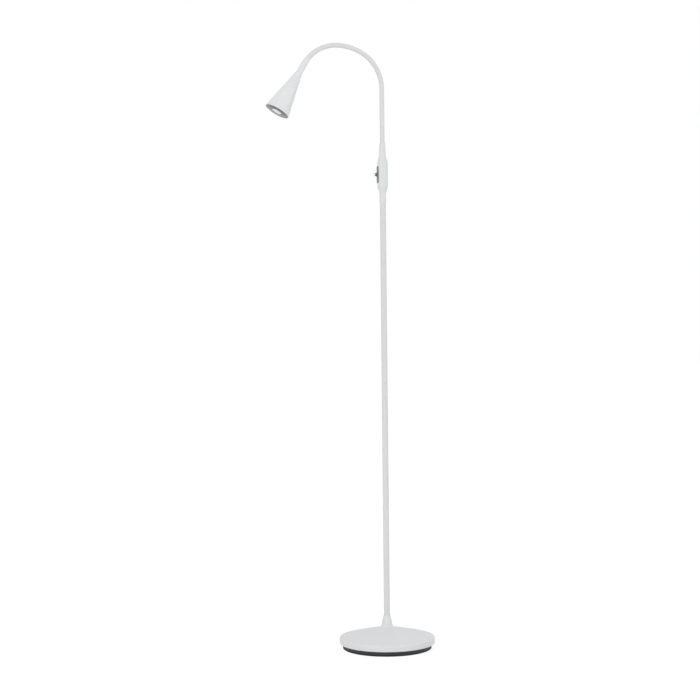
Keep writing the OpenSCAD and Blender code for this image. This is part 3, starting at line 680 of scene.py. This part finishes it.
def middle(k):
    """The middle of link k, or for the first and the last link a place near its one ball joint."""
    if k == 0:
        return ("z", ARM_Z - FOOT_RUN)
    if k <= 2:
        return ("z", (joint_place(k)[1] + joint_place(k + 1)[1]) / 2)
    if k == LAST_LINK:
        return ("bend", BOOT_BEND - HEAD_RUN)
    return ("bend", (k - 2.5) * LINK_BEND)


def sleeve(name, start, end):
    """A skin of the sleeve, which swells a little towards the boot and is slim inside it."""
    places = stations(start, end)
    radii = []
    for kind, value in places:
        part = 0
        if kind == "bend" and value <= SLIM_BEND:
            part = min(max((value - SWELL_BEND) / SWELL_RUN, 0), 1)
        radii.append(SLEEVE_R + SWELL * part * part * (3 - 2 * part))
    return arm_tube(name, places, radii, SLEEVE_BORE)


def make_arm():
    foot = ("z", low("arm_sleeve_0", Z))
    put(sleeve("arm_skin_foot", foot, middle(0)), "white_sleeve", "stand", "arm_sleeve_0")
    for k in range(1, LAST_LINK + 1):
        start = middle(k - 1)
        end = middle(k)
        skin = sleeve("arm_skin_%d" % k, start, end)
        skin.data.materials.append(materials["white_sleeve"])
        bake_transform(skin)
        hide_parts("arm_sleeve_%d" % k)
    put(sleeve("arm_skin_end", middle(LAST_LINK), ("bend", ARCH_BEND)), "white_sleeve", "head")


# Head: names that end in A are distances along its axis from the end of the arch

MOUTH_A = 112.5
MOUTH_R = 25.5
CONE = 90.5
CONE_A = MOUTH_A - CONE
HEAD_NECK_R = 6.4
HEAD_FILLET = 25
# Slope of the cone's side, in radians
CONE_ANGLE = math.atan((MOUTH_R - HEAD_NECK_R) / CONE)
# Thickness of the shell across the head's axis
WALL = 1.2 / math.cos(CONE_ANGLE)
SLEEVE_SEAT_R = 4.8
SLEEVE_SEAT_A = 8
LEAD_HOLE_R = 1.6
CHAMBER_A = 26
BOOT_R = 5.15
BOOT_EDGE = 0.35
BOOT_EDGE_STEPS = 8
BOOT_TAPER = 0.7
BOOT_CURVE = 0.8
BOOT_BORE = SLEEVE_R - 0.2
RING_A = MOUTH_A - 0.4
RING_BACK_A = RING_A - 3
RING_EDGE_A = MOUTH_A - 1.2
RING_RISE = 1.8
RING_CURVE = 1.2
RING_STEPS = 16
LENS_R = 10.5
LENS_LEDGE_R = 9.3
LENS_BACK_R = 9.1
LENS_SEAT_A = RING_A - 1.8
LENS_FACE_A = RING_EDGE_A + RING_RISE - 0.3
LENS_TOP_A = LENS_FACE_A + 1.2
LENS_TAIL_R = 4.5
LENS_TAIL_A = RING_A - 12.6
LENS_RIM_A = LENS_FACE_A - 0.1
DOME_EDGE_R = 9.8


def shell_r(a):
    return HEAD_NECK_R + (a - CONE_A) * math.tan(CONE_ANGLE)


def make_boot():
    """The boot's edge is rounded, and it widens towards the head."""
    places = stations(("bend", BOOT_BEND), ("bend", ARCH_BEND), 0.5)
    last = len(places) - 1
    radii = []
    for i in range(last + 1):
        start = min(1.0, i / BOOT_EDGE_STEPS)
        rounding = BOOT_EDGE * math.sqrt(start * (2 - start))
        radii.append(BOOT_R + rounding + BOOT_TAPER * (i / last) ** BOOT_CURVE)
    boot = arm_tube("boot_skin", places, radii, BOOT_BORE, segments=64)
    # The boot takes the head's lighter copy of white plastic: painted light
    put(boot, "white_plastic", "head", "head_boot", finish="white_shade")


def make_head():
    place = arm_point(("bend", ARCH_BEND))
    turn = math.degrees(CONE_ANGLE)
    fillet = (HEAD_NECK_R + HEAD_FILLET, CONE_A - HEAD_FILLET * math.tan(CONE_ANGLE / 2))
    outline = [(SLEEVE_SEAT_R, 0), (HEAD_NECK_R, 0, 0.3)]
    outline += arc(fillet, HEAD_FILLET, 180, 180 - turn, 14)
    outline += [(MOUTH_R, MOUTH_A, 0.5), (MOUTH_R - WALL, MOUTH_A, 0.4)]
    outline += [(shell_r(CHAMBER_A) - WALL, CHAMBER_A), (LEAD_HOLE_R, CHAMBER_A)]
    outline += [(LEAD_HOLE_R, SLEEVE_SEAT_A), (SLEEVE_SEAT_R, SLEEVE_SEAT_A)]
    shell = lathe("shell_skin", outline, place, segments=160)
    # The shell takes a lighter copy of white plastic: painted light
    put(shell, "white_plastic", "head", "head_shell", finish="white_shade")

    edge = shell_r(RING_EDGE_A) - WALL - FIT
    hole = LENS_R + FIT
    ring = [(LENS_LEDGE_R, RING_BACK_A), (shell_r(RING_BACK_A) - WALL - FIT, RING_BACK_A)]
    ring += [(edge, RING_EDGE_A, 0.15)]
    for i in range(1, RING_STEPS):
        t = 1 - i / RING_STEPS
        ring.append((hole + (edge - hole) * t, RING_EDGE_A + RING_RISE * (1 - t**RING_CURVE)))
    ring += [(hole, RING_EDGE_A + RING_RISE, 0.3), (hole, LENS_SEAT_A), (LENS_LEDGE_R, LENS_SEAT_A)]
    bezel = lathe("bezel_skin", ring, place, segments=128, sharp=25)
    put(bezel, "dark_grey", "head", "lens_ring")

    rise = LENS_TOP_A - LENS_FACE_A
    dome_r = (LENS_R**2 + rise**2) / (2 * rise)
    dome_start = 90 - math.degrees(math.asin(DOME_EDGE_R / dome_r))
    outline = [(0, LENS_TAIL_A), (LENS_TAIL_R, LENS_TAIL_A), (LENS_BACK_R, LENS_SEAT_A)]
    outline += [(LENS_R, LENS_SEAT_A)]
    outline += [(LENS_R, LENS_RIM_A, 0.3), (DOME_EDGE_R + 0.1, LENS_RIM_A, 0.1)]
    outline += arc((0, LENS_TOP_A - dome_r), dome_r, dome_start, 89.6, 16) + [(0, LENS_TOP_A)]
    put(lathe("lens_skin", outline, place, segments=96, sharp=40), "lens_white", "head", "lens")


make_base()
make_switch()
make_arm()
make_boot()
make_head()


# Studio: the camera is level, at about half the lamp's height, and turned a little to the head's side

CAMERA_TURN = 17
CAMERA_ROLL = 0.573
CAMERA_BACK = 2.85
CAMERA_LEFT = 0.0686
CAMERA_HEIGHT = 0.5953
CAMERA_LENS = 73.3
CAMERA_SENSOR = 36
FLOOR_HALF = 40
FLOOR_GLOW = 0.88
WORLD_LIGHT = 0.684

# Lights: place, target, diameter, power
LIGHTS = {
    "key": ((-1.8, -2.2, 2.0), (0, 0, 0.7), 1.6, 20),
    "fill": ((2.2, -1.4, 1.4), (0, 0, 0.6), 1.8, 9),
    "low": ((-0.6, -0.55, 0.12), (0, 0, 0.03), 0.25, 0.46),
}


def make_camera():
    data = bpy.data.cameras.new("camera")
    data.sensor_width = CAMERA_SENSOR
    data.lens = CAMERA_LENS
    data.clip_end = 100
    cam = bpy.data.objects.new("camera", data)
    bpy.context.scene.collection.objects.link(cam)
    turn = math.radians(CAMERA_TURN)
    roll = math.radians(CAMERA_ROLL)
    forward = Vector((math.sin(turn), math.cos(turn), 0))
    right = Vector((math.cos(turn), -math.sin(turn), 0))
    up = Vector((0, 0, 1))
    spot = -forward * CAMERA_BACK - right * CAMERA_LEFT + up * CAMERA_HEIGHT
    x = right * math.cos(roll) - up * math.sin(roll)
    y = up * math.cos(roll) + right * math.sin(roll)
    cam.matrix_world = Matrix(
        (
            (x.x, y.x, -forward.x, spot.x),
            (x.y, y.y, -forward.y, spot.y),
            (x.z, y.z, -forward.z, spot.z),
            (0, 0, 0, 1),
        )
    )
    bpy.context.scene.camera = cam


def backdrop_mix(tree, seen, lit):
    """Joins two shaders: what the camera, gloss and glass see, and the light that the backdrop gives."""
    path = tree.nodes.new("ShaderNodeLightPath")
    first = tree.nodes.new("ShaderNodeMath")
    first.operation = "MAXIMUM"
    second = tree.nodes.new("ShaderNodeMath")
    second.operation = "MAXIMUM"
    tree.links.new(path.outputs["Is Camera Ray"], first.inputs[0])
    tree.links.new(path.outputs["Is Glossy Ray"], first.inputs[1])
    tree.links.new(first.outputs[0], second.inputs[0])
    tree.links.new(path.outputs["Is Transmission Ray"], second.inputs[1])
    mix = tree.nodes.new("ShaderNodeMixShader")
    tree.links.new(second.outputs[0], mix.inputs[0])
    tree.links.new(lit, mix.inputs[1])
    tree.links.new(seen, mix.inputs[2])
    return mix.outputs[0]


def make_floor():
    """A pale floor that looks white and keeps the lamp's shadow."""
    mesh = bpy.data.meshes.new("floor")
    s = FLOOR_HALF
    mesh.from_pydata([(-s, -s, 0), (s, -s, 0), (s, s, 0), (-s, s, 0)], [], [(0, 1, 2, 3)])
    floor = bpy.data.objects.new("floor", mesh)
    bpy.context.scene.collection.objects.link(floor)
    mat = bpy.data.materials.new("floor")
    mat.use_nodes = True
    tree = mat.node_tree
    tree.nodes.clear()
    lit = tree.nodes.new("ShaderNodeBsdfDiffuse")
    lit.inputs["Color"].default_value = (0.88, 0.88, 0.88, 1)
    soft = tree.nodes.new("ShaderNodeBsdfDiffuse")
    soft.inputs["Color"].default_value = (0.2, 0.2, 0.2, 1)
    glow = tree.nodes.new("ShaderNodeEmission")
    glow.inputs["Strength"].default_value = FLOOR_GLOW
    both = tree.nodes.new("ShaderNodeAddShader")
    tree.links.new(soft.outputs[0], both.inputs[0])
    tree.links.new(glow.outputs[0], both.inputs[1])
    out = tree.nodes.new("ShaderNodeOutputMaterial")
    tree.links.new(backdrop_mix(tree, both.outputs[0], lit.outputs[0]), out.inputs["Surface"])
    mesh.materials.append(mat)


def make_world():
    world = bpy.data.worlds.new("studio")
    bpy.context.scene.world = world
    world.use_nodes = True
    tree = world.node_tree
    tree.nodes.clear()
    seen = tree.nodes.new("ShaderNodeBackground")
    seen.inputs["Color"].default_value = (1, 1, 1, 1)
    lit = tree.nodes.new("ShaderNodeBackground")
    lit.inputs["Color"].default_value = (0.985, 0.99, 1, 1)
    lit.inputs["Strength"].default_value = WORLD_LIGHT
    out = tree.nodes.new("ShaderNodeOutputWorld")
    tree.links.new(backdrop_mix(tree, seen.outputs[0], lit.outputs[0]), out.inputs["Surface"])


def add_light(name, spot, target, size, power):
    data = bpy.data.lights.new(name, "AREA")
    data.shape = "DISK"
    data.size = size
    data.energy = power
    light = bpy.data.objects.new(name, data)
    bpy.context.scene.collection.objects.link(light)
    light.location = spot
    light.rotation_mode = "QUATERNION"
    light.rotation_quaternion = (Vector(target) - Vector(spot)).to_track_quat("-Z", "Y")
    light.visible_camera = False


make_camera()
make_floor()
make_world()
for name, values in LIGHTS.items():
    add_light(name, *values)
bpy.context.scene.view_settings.view_transform = "Standard"
